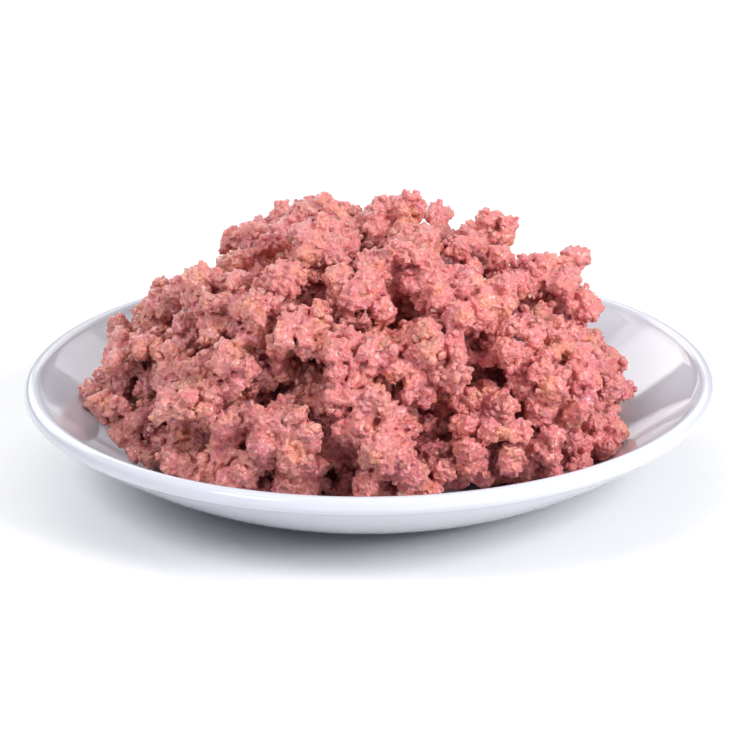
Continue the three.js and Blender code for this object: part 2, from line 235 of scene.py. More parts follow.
class PlateSettings(bpy.types.PropertyGroup):
    rim_radius: bpy.props.FloatProperty(
        name="Rim radius", description="From the middle to the outside of the rim",
        default=0.105, unit="LENGTH")
    height: bpy.props.FloatProperty(
        name="Height", description="From the table to the top of the rim",
        default=0.031, unit="LENGTH")
    lip_radius: bpy.props.FloatProperty(
        name="Lip radius", description="Half the thickness of the rounded rim",
        default=0.0026, unit="LENGTH")
    floor_top: bpy.props.FloatProperty(
        name="Floor top", description="Height of the flat inside",
        default=0.0064, unit="LENGTH")
    glaze: bpy.props.FloatVectorProperty(
        name="Glaze", description="Colour of the glazed porcelain",
        default=(0.645, 0.66, 0.735), subtype="COLOR", size=3, min=0, max=1)


class MinceSettings(bpy.types.PropertyGroup):
    step: bpy.props.FloatProperty(
        name="Step", description="Side of the small cubes that the relief is worked out on",
        default=0.00046, unit="LENGTH")
    crumb_size: bpy.props.FloatProperty(
        name="Crumb size", description="Width of the packed crumbs of the relief",
        default=0.0021, unit="LENGTH")
    grain_size: bpy.props.FloatProperty(
        name="Grain size", description="Width of the finest grain of the relief",
        default=0.0014, unit="LENGTH")
    pink: bpy.props.FloatVectorProperty(
        name="Pink", description="Colour of the fresh pink mince",
        default=(0.765, 0.241, 0.236), subtype="COLOR", size=3, min=0, max=1)
    brown: bpy.props.FloatVectorProperty(
        name="Brown", description="Colour of the browner mince",
        default=(0.61, 0.275, 0.234), subtype="COLOR", size=3, min=0, max=1)
    peach: bpy.props.FloatVectorProperty(
        name="Peach", description="Colour of the warmer patches",
        default=(0.825, 0.352, 0.207), subtype="COLOR", size=3, min=0, max=1)
    rose: bpy.props.FloatVectorProperty(
        name="Rose", description="Colour of the deeper rose crumbs",
        default=(0.725, 0.193, 0.223), subtype="COLOR", size=3, min=0, max=1)
    mauve: bpy.props.FloatVectorProperty(
        name="Mauve", description="Colour of the cooler patches",
        default=(0.69, 0.231, 0.295), subtype="COLOR", size=3, min=0, max=1)
    browned: bpy.props.FloatVectorProperty(
        name="Browned", description="Colour of the loose browned crumbs",
        default=(0.50, 0.23, 0.16), subtype="COLOR", size=3, min=0, max=1)
    fat: bpy.props.FloatVectorProperty(
        name="Fat", description="Colour of the flecks of fat",
        default=(0.93, 0.66, 0.56), subtype="COLOR", size=3, min=0, max=1)
    # painted shade: this dark red is laid into the deep crevices of the heap, in place of the shade
    # there
    crevice_shade: bpy.props.FloatVectorProperty(
        name="Crevice", description="Colour of the moist hollows",
        default=(0.27, 0.045, 0.05), subtype="COLOR", size=3, min=0, max=1)
    # painted shade: this dark red is laid into the creases between grains and the hollows between
    # crumbs
    crease_shade: bpy.props.FloatVectorProperty(
        name="Hollow", description="Colour of the creases between crumbs",
        default=(0.50, 0.085, 0.09), subtype="COLOR", size=3, min=0, max=1)
    # real colour of pale fatty crumbs, also used as painted highlight on the proud tips of the crumbs
    pale: bpy.props.FloatVectorProperty(
        name="Pale", description="Colour of the pale fatty crumbs",
        default=(0.915, 0.52, 0.467), subtype="COLOR", size=3, min=0, max=1)


class StageSettings(bpy.types.PropertyGroup):
    floor: bpy.props.FloatVectorProperty(
        name="Floor", description="Colour of the floor",
        default=(0.9, 0.9, 0.9), subtype="COLOR", size=3, min=0, max=1)


# ---------------------------------------------------------------- the plate

def bezier(a, b, c, d, count):
    """Points on a cubic curve, without its first."""
    t = np.linspace(0, 1, count + 1)[1:, None]
    a, b, c, d = (np.array(p, float) for p in (a, b, c, d))
    return (1 - t) ** 3 * a + 3 * (1 - t) ** 2 * t * b + 3 * (1 - t) * t * t * c + t ** 3 * d


def plate_inside(settings, count=30):
    """Outline of the plate's inside in millimetres, from the lip to the flat floor."""
    lip = on_lip(settings, math.radians(157.5))
    floor = settings.floor_top / MM
    return np.vstack([[lip], bezier(lip, (83, 17), (69, floor), (50, floor), count)])


def on_lip(settings, angle):
    """The point of the rounded rim at an angle, in millimetres."""
    lip = settings.lip_radius / MM
    return np.array([settings.rim_radius / MM - lip + lip * math.cos(angle),
                     settings.height / MM - lip + lip * math.sin(angle)])


def plate_outline(settings):
    """Whole outline of the plate in millimetres, from the middle below to the middle above."""
    foot = [(0, 2.8), (20, 2.8), (40, 2.8), (43.3, 2.8), (44.2, 2.5), (44.9, 1.5), (45.6, 0.5),
            (46.0, 0.12), (46.5, 0), (49.2, 0), (49.7, 0.12), (50.1, 0.5), (50.8, 1.5), (51.6, 2.4)]
    start = on_lip(settings, math.radians(-67.5))
    outside = bezier((51.6, 2.4), (68, 2.4), (84, 12.5), start, 30)
    lip = [on_lip(settings, math.radians(a)) for a in np.linspace(-67.5, 157.5, 17)[1:-1]]
    floor = settings.floor_top / MM
    middle = [(35, floor), (18, floor), (0, floor)]
    return np.vstack([foot, outside, lip, plate_inside(settings), middle])


def turned(outline, sides, name):
    """A closed mesh turned about the upright axis from an outline in millimetres."""
    angles = np.linspace(0, 2 * math.pi, sides, endpoint=False)
    ring = outline[1:-1]
    points = [(0, 0, outline[0][1] * MM), (0, 0, outline[-1][1] * MM)]
    for r, z in ring:
        points += [(r * math.cos(a) * MM, r * math.sin(a) * MM, z * MM) for a in angles]
    faces = []
    for k in range(len(ring) - 1):
        for i in range(sides):
            j = (i + 1) % sides
            a, b = 2 + k * sides, 2 + (k + 1) * sides
            faces.append((a + i, a + j, b + j, b + i))
    last = 2 + (len(ring) - 1) * sides
    for i in range(sides):
        j = (i + 1) % sides
        faces.append((0, 2 + j, 2 + i))
        faces.append((1, last + i, last + j))
    mesh = bpy.data.meshes.new(name)
    mesh.from_pydata(points, [], faces)
    mesh.polygons.foreach_set("use_smooth", [True] * len(faces))
    return mesh


# ---------------------------------------------------------------- the heap

def smoothed(array, rounds):
    """The array blurred a little along each axis, so many times."""
    array = array.copy()
    for _ in range(rounds):
        for axis in range(3):
            part = np.moveaxis(array, axis, 0)
            part[1:-1] = 0.5 * part[1:-1] + 0.25 * (part[:-2] + part[2:])
    return array


class Field:
    """Distances to a surface on a grid of small cubes, in millimetres, below zero inside."""

    def __init__(self, points, triangles, step):
        self.step = step
        self.link = vdb.createLinearTransform(voxelSize=step)
        grid = vdb.FloatGrid.createLevelSetFromPolygons(
            points, triangles=triangles, transform=self.link, halfWidth=int(ROOM / step))
        low, high = grid.evalActiveVoxelBoundingBox()
        self.low = np.array(low) - 3
        self.values = np.full(tuple(np.array(high) + 3 - self.low + 1), ROOM, np.float32)
        grid.copyToArray(self.values, ijk=tuple(int(i) for i in self.low))

    def cells(self, points):
        """Indices of the cubes nearest to the points."""
        index = np.rint(points / self.step).astype(np.int64) - self.low
        return tuple(np.clip(index, 0, np.array(self.values.shape) - 1).T)

    def near(self, reach):
        """Mask and indices of the cubes within reach of the surface."""
        mask = np.abs(self.values) < reach
        return mask, np.argwhere(mask)

    def spots(self, spacing, rng):
        """Scattered points on the surface, about a spacing apart, with their normals."""
        v = self.values
        inside = v < 0
        edge = inside & ~(np.roll(inside, 1, 0) & np.roll(inside, -1, 0) & np.roll(inside, 1, 1)
                          & np.roll(inside, -1, 1) & np.roll(inside, 1, 2) & np.roll(inside, -1, 2))
        index = np.argwhere(edge)
        index = index[(index[:, 2] + self.low[2]) * self.step > LOWEST]
        index = index[rng.permutation(len(index))]
        points = (index + self.low) * self.step
        home = np.floor(points / spacing + rng.random(3)).astype(np.int64)
        key = (home[:, 0] * 4096 + home[:, 1]) * 4096 + home[:, 2]
        _, first = np.unique(key, return_index=True)
        index, points = index[first], points[first]
        return points, self.slopes(points)

    def slopes(self, points):
        """Directions straight out of the surface near the points."""
        v = self.values
        i, j, k = self.cells(points)
        i, j, k = (np.clip(part, 2, n - 3) for part, n in zip((i, j, k), v.shape))
        slope = np.stack([v[i + 2, j, k] - v[i - 2, j, k], v[i, j + 2, k] - v[i, j - 2, k],
                          v[i, j, k + 2] - v[i, j, k - 2]], 1)
        slope /= np.linalg.norm(slope, axis=1)[:, None] + 1e-6
        return slope

    def add(self, middle, radius, rng, blend, stretch=0.3, uneven=0.14, carve=False):
        """Melts one uneven ball or rounded block into the field, or carves it out."""
        reach = radius * (1 + stretch + uneven) + blend + self.step
        low = np.maximum(np.floor((middle - reach) / self.step).astype(int) - self.low, 0)
        high = np.minimum(np.ceil((middle + reach) / self.step).astype(int) - self.low + 1,
                          self.values.shape)
        if np.any(high <= low):
            return
        axes = [((np.arange(low[a], high[a]) + self.low[a]) * self.step
                 - middle[a]).astype(np.float32) for a in range(3)]
        turn = np.linalg.qr(rng.normal(size=(3, 3)))[0]
        scale = radius * (1 + stretch * rng.uniform(-1, 1, 3))
        q = [(turn[a, 0] * axes[0][:, None, None] + turn[a, 1] * axes[1][None, :, None]
              + turn[a, 2] * axes[2][None, None, :]) / scale[a] for a in range(3)]
        squares = [part * part for part in q]
        size = np.sqrt(squares[0] + squares[1] + squares[2])
        if rng.random() < 0.5:
            size = 0.35 * size + 0.65 * np.sqrt(np.sqrt(sum(part * part for part in squares)))
        for beat in (2.6, 4.3):
            way = rng.normal(size=3)
            way /= np.linalg.norm(way)
            size = size + uneven / 2 * np.sin(beat * (q[0] * way[0] + q[1] * way[1] + q[2] * way[2])
                                              + rng.uniform(0, 6.3))
        ball = (size - 1) * radius
        part = tuple(slice(a, b) for a, b in zip(low, high))
        sign = -1 if carve else 1
        old = self.values[part] * sign
        mix = np.clip(0.5 + 0.5 * (old - ball) / blend, 0, 1)
        self.values[part] = sign * (old * (1 - mix) + ball * mix - blend * mix * (1 - mix))

    def surface(self):
        """Points and faces of the surface."""
        grid = vdb.FloatGrid(3 * self.step)
        grid.transform = self.link
        grid.gridClass = vdb.GridClass.LEVEL_SET
        grid.copyFromArray(self.values, ijk=tuple(int(i) for i in self.low))
        return grid.convertToPolygons(isovalue=0.0, adaptivity=0.0)


def cellular(count, cells, rng, spread=0.5):
    """A repeating block of noise: how near the nearest scattered spot is, in cell widths, and a
    random number of that spot."""
    spots = np.stack(np.meshgrid(*[np.arange(cells)] * 3, indexing="ij"), -1) + 0.5
    spots = spots + spread * rng.uniform(-1, 1, spots.shape)
    height = rng.uniform(0, 1, (cells,) * 3).astype(np.float32)
    line = ((np.arange(count) + 0.5) * cells / count).astype(np.float32)
    home = np.floor(line).astype(int)
    best = np.full((count,) * 3, 9.0, np.float32)
    owner = np.zeros((count,) * 3, np.float32)
    for step in product((-1, 0, 1), repeat=3):
        near = [(home + d) % cells for d in step]
        wrap = [(home + d) // cells * cells for d in step]
        spot = spots[np.ix_(*near)]
        gap = 0
        for axis in range(3):
            shape = [1, 1, 1]
            shape[axis] = count
            gap = gap + (spot[..., axis] + (wrap[axis] - line).reshape(shape)) ** 2
        closer = gap < best
        best[closer] = gap[closer]
        owner[closer] = height[np.ix_(*near)][closer]
    return np.sqrt(best), owner


def cloud(count, cells, rng):
    """A repeating block of smooth noise from -1 to 1."""
    table = rng.uniform(-1, 1, (cells,) * 3).astype(np.float32)
    line = np.arange(count) * cells / count
    home = np.floor(line).astype(int)
    part = (line - home).astype(np.float32)
    part = part * part * (3 - 2 * part)
    for axis in range(3):
        shape = [1, 1, 1]
        shape[axis] = count
        mix = part.reshape(shape)
        ahead = np.take(table, (home + 1) % cells, axis)
        table = np.take(table, home, axis) * (1 - mix) + ahead * mix
    return table


def looked_up(block, index):
    """Values of a repeating block at grid indices."""
    return block[tuple((index % len(block)).T)]


def read_points(mesh, kind="co"):
    """The mesh's points, or their normals, as an array."""
    values = np.empty(len(mesh.vertices) * 3, np.float32)
    mesh.vertices.foreach_get(kind, values)
    return values.reshape(-1, 3)


def heap_field(mince):
    """The CAD heap's own form as a field, with its facets melted."""
    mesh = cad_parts["meat_heap"].data
    mesh.calc_loop_triangles()
    triangles = np.empty(len(mesh.loop_triangles) * 3, np.int32)
    mesh.loop_triangles.foreach_get("vertices", triangles)
    field = Field(read_points(mesh) / np.float32(MM), triangles.reshape(-1, 3).astype(np.uint32),
                  mince.step / MM)
    field.values = smoothed(field.values, round(FACET_BLUR / field.step))
    return field


def raised(plate, field):
    """Cuts the field by the plate's inside."""
    outline = plate_inside(plate)[::-1]
    span = [(np.arange(n) + low) * field.step for n, low in zip(field.values.shape, field.low)]
    r = np.hypot(span[0][:, None], span[1][None, :])
    floor = np.interp(r, outline[:, 0], outline[:, 1])
    lean = np.gradient(np.interp(np.arange(0, 110.0), outline[:, 0], outline[:, 1]))
    lean = 1 / np.sqrt(1 + np.interp(r, np.arange(0, 110.0), lean) ** 2)
    gap = (floor[:, :, None] + 0.15 - span[2][None, None, :]) * lean[:, :, None]
    field.values = np.maximum(field.values, gap.astype(np.float32))


def lumped_field(mince, rng):
    """Crags, lumps, crevices, knobs and crumbs on the CAD heap's form."""
    field = heap_field(mince)
    base = field.values.copy()
    # uneven crags take the roundness off the lumps
    mask, index = field.near(5.0)
    wide, narrow = cloud(144, 5, rng), cloud(96, 7, rng)
    field.values[mask] += 2.9 + 1.5 * looked_up(wide, index) + 1.0 * looked_up(narrow, index)
    # the lumps of the front, and others of their size all round
    points, normals = field.spots(11.0, rng)
    away = normals[:, 1] > FRONT
    for table, sizes, sink in ((np.array(LUMPS, float), (4.6, 6.4), 0.42),
                               (points[away], (4.2, 6.4), 0.42),
                               (np.array(SMALL_LUMPS, float), (2.7, 3.8), 0.3)):
        for point, normal in zip(table, field.slopes(table)):
            radius = rng.uniform(*sizes)
            field.add(point - normal * (2.4 + radius * sink), radius, rng, 0.4)
    carve_crevices(field, rng)
    field.values = smoothed(np.minimum(field.values, base + CORE_DEPTH), round(1.2 / field.step))
    table = np.array([row[:3] for row in TOUCHES], float)
    for row, point, normal in zip(TOUCHES, table, field.slopes(table)):
        radius = (*row, USUAL_TOUCH)[3]
        if radius > 0:
            field.add(point - normal * 0.3 * radius, radius, rng, 0.4)
            continue
        for deep in (0.5, -0.4, -1.2):
            field.add(point + normal * deep * -radius, 1.15 * -radius, rng, 0.8,
                      uneven=0.3, carve=True)
    for spacing, sizes, sink in KNOBS:
        points, normals = field.spots(spacing, rng)
        for point, normal in zip(points, normals):
            radius = rng.uniform(*sizes)
            field.add(point - normal * radius * rng.uniform(*sink), radius, rng, 0.35)
    return field, base


def crumble(field, mince, rng):
    """Roughens the surface with packed crumbs and a finer grain, and numbers the crumbs."""
    step = field.step
    mask, index = field.near(1.8)
    drift = np.stack([looked_up(cloud(96, 20, rng), index) for _ in range(3)], 1)
    index = index + np.rint(0.7 / step * drift).astype(np.int64)
    flat, numbers = 0.35, []
    for size, count, depth in ((mince.crumb_size, 12, CRUMB_DEPTH),
                               (mince.grain_size, 24, GRAIN_DEPTH)):
        near, number = cellular(round(count * size / MM / step), count, rng)
        dome = np.minimum(looked_up(near, index) ** 2, flat)
        field.values[mask] += depth * (dome - 0.2) / flat
        numbers.append(number)
    return looked_up_all(numbers[0], field)


def mince_field(plate, mince):
    """The heap's whole relief, and the random number of each crumb."""
    rng = np.random.default_rng(SEED)
    field, base = lumped_field(mince, rng)
    chance = crumble(field, mince, rng)
    raised(plate, field)
    return field, base, chance


def looked_up_all(block, field):
    """A repeating block laid over the whole grid."""
    tiles = [np.arange(n) % len(block) for n in field.values.shape]
    return block[np.ix_(*tiles)]


def carve_crevices(field, rng):
    """Carves the crevices of the front, others like them at the back and on top, and the narrow
    cracks that join neighbours."""
    points, normals = field.spots(15.0, rng)
    away = normals[:, 1] > FRONT
    table = np.array([row[:3] for row in CREVICES] + list(points[away]), float)
    radii = np.array([(*row, USUAL_CREVICE)[3] for row in CREVICES]
                     + list(rng.uniform(2.2, 4.4, away.sum())))
    ahead = np.array((0.0, 0.35, -0.15))
    ways = field.slopes(table) * -0.75
    ways += ahead * (ways[:, 1:2] > 0)
    ways /= np.linalg.norm(ways, axis=1)[:, None]
    for point, radius, way in zip(table, radii, ways):
        for deep, size in ((-0.6, 1.2), (0.3, 1.1), (1.2, 0.9), (2.1, 0.7)):
            field.add(point + way * radius * deep, (radius + 0.7) * size, rng, 1.0,
                      uneven=0.3, carve=True)
    table, ways = table[radii > 2.5], ways[radii > 2.5]
    for first, point in enumerate(table):
        gaps = np.linalg.norm(table - point, axis=1)
        for other in np.argsort(gaps)[1:3]:
            if 5 < gaps[other] < 14 and other > first:
                for along in np.linspace(0.2, 0.8, 4):
                    middle = point * (1 - along) + table[other] * along + rng.uniform(-1, 1, 3)
                    field.add(middle + ways[first] * rng.uniform(0.5, 2.5), rng.uniform(1.8, 2.8),
                              rng, 0.8, uneven=0.3, carve=True)


def mesh_from(points, triangles, quads, name):
    """A Blender mesh in metres from faces in millimetres."""
    faces = [f[:, ::-1].astype(np.int32) for f in (triangles, quads)]
    loops = np.concatenate([f.ravel() for f in faces])
    counts = np.concatenate([np.full(len(f), f.shape[1] if len(f) else 3, np.int32) for f in faces])
    starts = np.concatenate([[0], np.cumsum(counts)[:-1]]).astype(np.int32)
    mesh = bpy.data.meshes.new(name)
    mesh.vertices.add(len(points))
    mesh.vertices.foreach_set("co", (points * MM).astype(np.float32).ravel())
    mesh.loops.add(len(loops))
    mesh.loops.foreach_set("vertex_index", loops)
    mesh.polygons.add(len(counts))
    mesh.polygons.foreach_set("loop_start", starts)
    mesh.polygons.foreach_set("use_smooth", np.ones(len(counts), bool))
    mesh.update(calc_edges=True)
    mesh.validate()
    return mesh


def unit_ball():
    """Points and triangles of a coarse ball of radius 1."""
    ball = bmesh.new()
    bmesh.ops.create_icosphere(ball, subdivisions=2, radius=1)
    ball.verts.index_update()
    points = np.array([vertex.co[:] for vertex in ball.verts])
    faces = np.array([[vertex.index for vertex in face.verts] for face in ball.faces])
    ball.free()
    return points, faces


def crumbs_mesh(places, normals, sizes, stretch, rng, name):
    """Uneven crumbs that lie on the heap, each sunk a little into it, as one mesh."""
    ball, faces = unit_ball()
    points = []
    for place, normal, size in zip(places, normals, sizes):
        turn = np.linalg.qr(rng.normal(size=(3, 3)))[0]
        turn *= np.sign(np.linalg.det(turn))
        swell = np.ones(len(ball))
        for beat in (2.3, 4.1):
            swell += 0.16 * np.sin(beat * ball @ rng.normal(size=3) + rng.uniform(0, 6.3))
        form = ball * swell[:, None] * (1 + stretch * rng.uniform(-1, 1, 3)) @ turn * size
        points.append(form + place + normal * size * 0.25)
    count = len(places)
    triangles = (faces[None] + len(ball) * np.arange(count)[:, None, None]).reshape(-1, 3)
    return mesh_from(np.concatenate(points), triangles[:, ::-1], np.empty((0, 4), int), name)


def main_islands(points, triangles, quads, least=3000):
    """Drops the small closed scraps and hollows."""
    label = np.arange(len(points))
    sides = [(faces, np.roll(faces, -1, 1)) for faces in (triangles, quads)]
    a = np.concatenate([s[0].ravel() for s in sides]).astype(np.int64)
    b = np.concatenate([s[1].ravel() for s in sides]).astype(np.int64)
    while True:
        low = np.minimum(label[a], label[b])
        new = label.copy()
        np.minimum.at(new, a, low)
        np.minimum.at(new, b, low)
        new = new[new]
        if np.array_equal(new, label):
            break
        label = new
    names, counts = np.unique(label, return_counts=True)
    keep = np.isin(label, names[counts >= least])
    index = np.cumsum(keep) - 1
    return (points[keep], index[triangles[keep[triangles[:, 0]]]] if len(triangles) else triangles,
            index[quads[keep[quads[:, 0]]]])


def sector(field, whole, start, end, wiggles):
    """The part of the field between two angles; past them it dives under its neighbour."""
    across, along = [((np.arange(n) + low) * field.step).astype(np.float32)
                     for n, low in zip(whole.shape[:2], field.low)]
    tiles = np.ix_(*[np.arange(n) % len(wiggles[0]) for n in whole.shape])
    x = across[:, None, None] + 3.0 * wiggles[0][tiles]
    y = along[None, :, None] + 3.0 * wiggles[1][tiles]
    past = np.maximum(math.sin(start) * x - math.cos(start) * y,
                      math.cos(end) * y - math.sin(end) * x)
    return np.maximum(whole + 0.4 * np.maximum(past, 0) ** 2, past - 2.6)


def mark(piece, proud, deep, chance):
    """Keeps at each point how proud of its neighbours it stands, how deep in the heap it lies, and
    the random number of its crumb, for the material."""
    colour = np.stack([proud, deep, chance, np.ones(len(proud))], 1).astype(np.float32)
    relief = piece.data.attributes.new("relief", "FLOAT_COLOR", "POINT")
    relief.data.foreach_set("color", colour.ravel())


def mark_relief(piece, field, base, calm, chance):
    """Marks a piece of the heap by the fields that it was cut from."""
    cells = field.cells(read_points(piece.data) / MM)
    # how proud a point stands and how deep it lies set the painted highlight on tips and the painted
    # shade in hollows and crevices
    proud, deep = 0.5 + calm[cells] / 1.6, -base[cells] / 6.0
    mark(piece, np.clip(proud, 0, 1), np.clip(deep, 0, 1), chance[cells])


def thin(piece, most):
    """Joins triangles where the surface is plain, down to the most that the piece may have."""
    count = len(piece.data.loops) - 2 * len(piece.data.polygons)
    if count <= most:
        return
    change = piece.modifiers.new("thin", "DECIMATE")
    change.ratio = most / count
    change.use_collapse_triangulate = True
    with bpy.context.temp_override(object=piece, active_object=piece, selected_objects=[piece]):
        bpy.ops.object.modifier_apply(modifier=change.name)


def new_object(mesh, name):
    """A new object in the scene."""
    piece = bpy.data.objects.new(name, mesh)
    bpy.context.scene.collection.objects.link(piece)
    return piece


# ---------------------------------------------------------------- materials

def new_material(name):
    """A new material, with its nodes, its links and its main shader."""
    material = bpy.data.materials.new(name)
    material.use_nodes = True
    return material, material.node_tree.nodes, material.node_tree.links, \
        material.node_tree.nodes["Principled BSDF"]


def mixed(nodes, links, factor, first, second):
    """A colour mix of two colours or sockets by a factor."""
    mix = nodes.new("ShaderNodeMix")
    mix.data_type = "RGBA"
    for socket, value in ((mix.inputs[0], factor), (mix.inputs[6], first), (mix.inputs[7], second)):
        if isinstance(value, bpy.types.NodeSocket):
            links.new(value, socket)
        elif socket == mix.inputs[0]:
            socket.default_value = value
        else:
            socket.default_value = (*value, 1)
    return mix.outputs[2]


def ranged(nodes, links, value, low, high, to_low=0.0, to_high=1.0):
    """The value mapped from one range to another."""
    node = nodes.new("ShaderNodeMapRange")
    links.new(value, node.inputs["Value"])
    for name, number in (("From Min", low), ("From Max", high),
                         ("To Min", to_low), ("To Max", to_high)):
        node.inputs[name].default_value = number
    return node.outputs["Result"]


def noise(nodes, links, place, size, detail=2.0):
    """Smooth noise whose features are about so many metres wide."""
    node = nodes.new("ShaderNodeTexNoise")
    node.inputs["Scale"].default_value = 1 / size
    node.inputs["Detail"].default_value = detail
    links.new(place, node.inputs["Vector"])
    return node.outputs["Fac"]


def spots(nodes, links, place, size):
    """How near the nearest of scattered cells is, in cells about so many metres wide."""
    node = nodes.new("ShaderNodeTexVoronoi")
    node.inputs["Scale"].default_value = 1 / size
    links.new(place, node.inputs["Vector"])
    return node.outputs["Distance"]


def glaze_material(settings):
    """White glaze, a little warmer in patches, with the faint waves of a fired surface."""
    material, nodes, links, shader = new_material("glaze")
    place = nodes.new("ShaderNodeTexCoord").outputs["Object"]
    warmer = [part * change for part, change in zip(settings.glaze, (1.0, 0.985, 0.955))]
    patches = ranged(nodes, links, noise(nodes, links, place, 0.03, 3), 0.35, 0.7)
    colour = mixed(nodes, links, patches, tuple(settings.glaze), warmer)
    links.new(colour, shader.inputs["Base Color"])
    links.new(ranged(nodes, links, noise(nodes, links, place, 0.012, 2), 0.3, 0.7, 0.05, 0.10),
              shader.inputs["Roughness"])
    shader.inputs["IOR"].default_value = 1.5
    bumped(nodes, links, shader, noise(nodes, links, place, 0.005, 1), 0.00002)
    return material


def worked(nodes, links, kind, *values):
    """A sum of sockets and numbers, kept from 0 to 1 where it is an addition."""
    node = nodes.new("ShaderNodeMath")
    node.operation = kind
    node.use_clamp = kind == "ADD"
    for socket, value in zip(node.inputs, values):
        if isinstance(value, bpy.types.NodeSocket):
            links.new(value, socket)
        else:
            socket.default_value = value
    return node.outputs[0]


def bumped(nodes, links, shader, height, distance):
    """Bump from a height, as much as relief of so many metres has."""
    bump = nodes.new("ShaderNodeBump")
    bump.inputs["Distance"].default_value = distance
    bump.inputs["Strength"].default_value = 1.0
    links.new(height, bump.inputs["Height"])
    links.new(bump.outputs["Normal"], shader.inputs["Normal"])


def mince_material(settings, name="mince", main=None, other=None):
    """Moist crumbly mince; main and other are the two colours that most of it has."""
    material, nodes, links, shader = new_material(name)
    main, other = main or settings.pink, other or settings.brown
    place = nodes.new("ShaderNodeTexCoord").outputs["Object"]
    relief = nodes.new("ShaderNodeAttribute")
    relief.attribute_name = "relief"
    parts = nodes.new("ShaderNodeSeparateColor")
    links.new(relief.outputs["Color"], parts.inputs[0])
    proud, deep, chance = parts.outputs
    across = nodes.new("ShaderNodeSeparateXYZ")
    links.new(place, across.inputs[0])
    # broad patches: pinker to the right, browner to the left
    patch = noise(nodes, links, place, 0.014, 3)
    brownness = worked(nodes, links, "ADD", ranged(nodes, links, patch, 0.5, 0.7, 0.0, 0.7),
                       ranged(nodes, links, across.outputs["X"], -0.08, 0.03, 0.72, -0.15))
    colour = mixed(nodes, links, brownness, main, other)
    # smaller patches of peach, mauve and rose
    for size, low, high, most, tint in ((0.0035, 0.5, 0.68, 0.45, settings.peach),
                                        (0.009, 0.52, 0.68, 0.75, settings.peach),
                                        (0.007, 0.52, 0.7, 0.7, settings.mauve),
                                        (0.005, 0.5, 0.7, 0.6, settings.rose)):
        shift = nodes.new("ShaderNodeVectorMath")
        links.new(place, shift.inputs[0])
        shift.inputs[1].default_value = (size * 31, size * 17, 0)
        patch = noise(nodes, links, shift.outputs[0], size, 3)
        share = ranged(nodes, links, patch, low, high, 0.0, most)
        colour = mixed(nodes, links, share, colour, tint)
    speck = 0.0011
    grain = noise(nodes, links, place, speck, 2)
    dome = worked(nodes, links, "POWER", spots(nodes, links, place, speck), 2.0)
    # each crumb's own tint and pale specks; painted shade in creases, hollows and deep crevices;
    # painted highlight on proud tips
    for value, low, high, first, last, tint in ((chance, 0.6, 1.0, 0.0, 0.09, settings.pale),
                                                (chance, 0.0, 0.35, 0.13, 0.0, settings.rose),
                                                (grain, 0.52, 0.75, 0.0, 0.08, settings.pale),
                                                (dome, 0.12, 0.5, 0.0, 0.12, settings.crease_shade),
                                                (proud, 0.5, 0.95, 0.0, 0.38, settings.pale),
                                                (proud, 0.15, 0.5, 0.4, 0.0, settings.crease_shade),
                                                (deep, 0.55, 1.0, 0.0, 0.8, settings.crevice_shade)):
        share = ranged(nodes, links, value, low, high, first, last)
        colour = mixed(nodes, links, share, colour, tint)
    links.new(colour, shader.inputs["Base Color"])
    rough = noise(nodes, links, place, 0.004, 2)
    links.new(ranged(nodes, links, rough, 0.3, 0.7, 0.3, 0.6), shader.inputs["Roughness"])
    shader.inputs["Subsurface Weight"].default_value = 0.7
    shader.inputs["Subsurface Radius"].default_value = (1.0, 0.4, 0.3)
    shader.inputs["Subsurface Scale"].default_value = 0.0012
    shader.inputs["Coat Weight"].default_value = 0.5
    shader.inputs["Coat Roughness"].default_value = 0.14
    fine = ranged(nodes, links, noise(nodes, links, place, 0.0006, 2), 0.0, 1.0, 0.0, 0.25)
    bumped(nodes, links, shader, worked(nodes, links, "MULTIPLY_ADD", dome, -0.7, fine), 0.0009)
    return material


# ---------------------------------------------------------------- operators

class MINCE_OT_plate(bpy.types.Operator):
    """Make the glazed coupe plate."""
    bl_idname = "mince.plate"
    bl_label = "Plate"

    def execute(self, context):
        settings = context.scene.mince_plate
        piece = new_object(turned(plate_outline(settings), 192, "coupe_plate"), "coupe_plate")
        piece.data.materials.append(glaze_material(settings))
        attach(piece, "root")
        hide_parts("plate")
        return {"FINISHED"}


class MINCE_OT_heap(bpy.types.Operator):
    """Make the crumbly heap of mince, in sectors that melt into each other."""
    bl_idname = "mince.heap"
    bl_label = "Heap"

    def execute(self, context):
        settings = context.scene.mince_heap
        field, base, chance = mince_field(context.scene.mince_plate, settings)
        calm = smoothed(field.values, round(1.0 / field.step))
        whole = field.values
        material = mince_material(settings)
        rng = np.random.default_rng(SEED + 1)
        wiggles = cloud(96, 8, rng), cloud(96, 8, rng)
        surface = []
        for name, start, end in SECTORS:
            field.values = sector(field, whole, math.radians(start), math.radians(end), wiggles)
            points, triangles, quads = main_islands(*field.surface())
            piece = new_object(mesh_from(points, triangles, quads, name), name)
            thin(piece, MOST_TRIANGLES)
            mark_relief(piece, field, base, calm, chance)
            surface.append(resting_places(piece.data, field, whole))
            piece.data.materials.append(material)
            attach(piece, "root")
            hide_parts("meat_heap")
        field.values = whole
        scatter_crumbs(np.concatenate(surface), settings)
        return {"FINISHED"}


def resting_places(mesh, field, whole):
    """Points in millimetres and normals of a piece, where it is the heap's surface and faces up."""
    points, normals = read_points(mesh) / MM, read_points(mesh, "normal")
    good = (np.abs(whole[field.cells(points)]) < 0.5) & (normals[:, 2] > 0.15) & (points[:, 2] > 14)
    return np.hstack([points, normals])[good]


